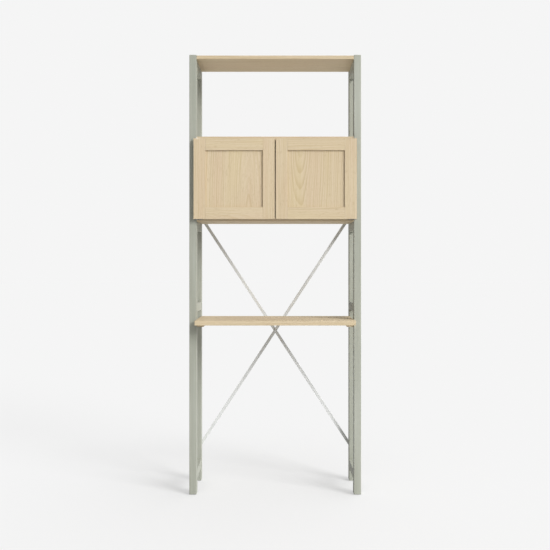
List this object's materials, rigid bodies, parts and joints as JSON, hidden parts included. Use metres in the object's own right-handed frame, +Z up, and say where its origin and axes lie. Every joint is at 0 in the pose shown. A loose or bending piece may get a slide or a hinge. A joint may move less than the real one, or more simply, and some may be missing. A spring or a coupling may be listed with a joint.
{
  "type": "over-the-toilet storage rack",
  "caption": "Tall freestanding rack of ladder frames that straddles a toilet, with a two-door cabinet, open shelves and a crossed rear brace.",
  "frame": {"origin": "centre of the bounding box at the floor", "axes": "+X to the rack's right as seen from the front, +Y to the wall behind it, +Z up"},
  "size_m": [0.72, 0.341, 1.845],
  "materials": {
    "painted_wood": "satin sage-grey paint",
    "ash_veneer": "pale ash veneer, satin lacquer",
    "brace_steel": "satin",
    "nickel_hardware": "satin nickel",
    "dark_plastic": "matte",
    "pale_plastic": "satin"
  },
  "bodies": {
    "frame": {"post_front_left": "painted_wood", "foot_glide_front_left": "dark_plastic", "post_rear_left": "painted_wood", "foot_glide_rear_left": "dark_plastic", "rung_left_1": "painted_wood", "rung_left_2": "painted_wood", "rung_left_3": "painted_wood", "rung_left_4": "painted_wood", "post_front_right": "painted_wood", "foot_glide_front_right": "dark_plastic", "post_rear_right": "painted_wood", "foot_glide_rear_right": "dark_plastic", "rung_right_1": "painted_wood", "rung_right_2": "painted_wood", "rung_right_3": "painted_wood", "rung_right_4": "painted_wood", "top_shelf": "ash_veneer", "middle_shelf": "ash_veneer", "shelf_cleat_left": "ash_veneer", "shelf_cleat_right": "ash_veneer", "cabinet_top": "ash_veneer", "cabinet_bottom": "ash_veneer", "cabinet_side_left": "ash_veneer", "cabinet_side_right": "ash_veneer", "cabinet_back": "ash_veneer", "left_cabinet_upper_leaf": "nickel_hardware", "left_cabinet_lower_leaf": "nickel_hardware", "left_latch_housing": "pale_plastic", "right_cabinet_upper_leaf": "nickel_hardware", "right_cabinet_lower_leaf": "nickel_hardware", "right_latch_housing": "pale_plastic", "brace_bar_front": "brace_steel", "brace_bar_rear": "brace_steel", "brace_bolt": "nickel_hardware", "brace_nut": "nickel_hardware", "brace_screw_lower_left": "nickel_hardware", "brace_screw_upper_left": "nickel_hardware", "brace_screw_lower_right": "nickel_hardware", "brace_screw_upper_right": "nickel_hardware"},
    "left_door": {"left_door_outer_stile": "ash_veneer", "left_door_inner_stile": "ash_veneer", "left_door_top_rail": "ash_veneer", "left_door_bottom_rail": "ash_veneer", "left_door_panel": "ash_veneer", "left_door_upper_leaf": "nickel_hardware", "left_door_lower_leaf": "nickel_hardware"},
    "right_door": {"right_door_outer_stile": "ash_veneer", "right_door_inner_stile": "ash_veneer", "right_door_top_rail": "ash_veneer", "right_door_bottom_rail": "ash_veneer", "right_door_panel": "ash_veneer", "right_door_upper_leaf": "nickel_hardware", "right_door_lower_leaf": "nickel_hardware"},
    "left_latch_plunger": {"left_latch_plunger": "dark_plastic"},
    "right_latch_plunger": {"right_latch_plunger": "dark_plastic"}
  },
  "joints": [
    {"name": "left_door_hinge", "type": "hinge", "parent": "frame", "child": "left_door", "pos_m": [-0.3315, -0.103, 1.3235], "axis": [0, 0, -1], "range_deg": [0, 110]},
    {"name": "right_door_hinge", "type": "hinge", "parent": "frame", "child": "right_door", "pos_m": [0.3315, -0.103, 1.3235], "axis": [0, 0, 1], "range_deg": [0, 110]},
    {"name": "left_latch_push", "type": "slide", "parent": "frame", "child": "left_latch_plunger", "axis": [0, 1, 0], "range_m": [0, 0.003], "stiffness_N_per_m": 300},
    {"name": "right_latch_push", "type": "slide", "parent": "frame", "child": "right_latch_plunger", "axis": [0, 1, 0], "range_m": [0, 0.003], "stiffness_N_per_m": 300}
  ]
}
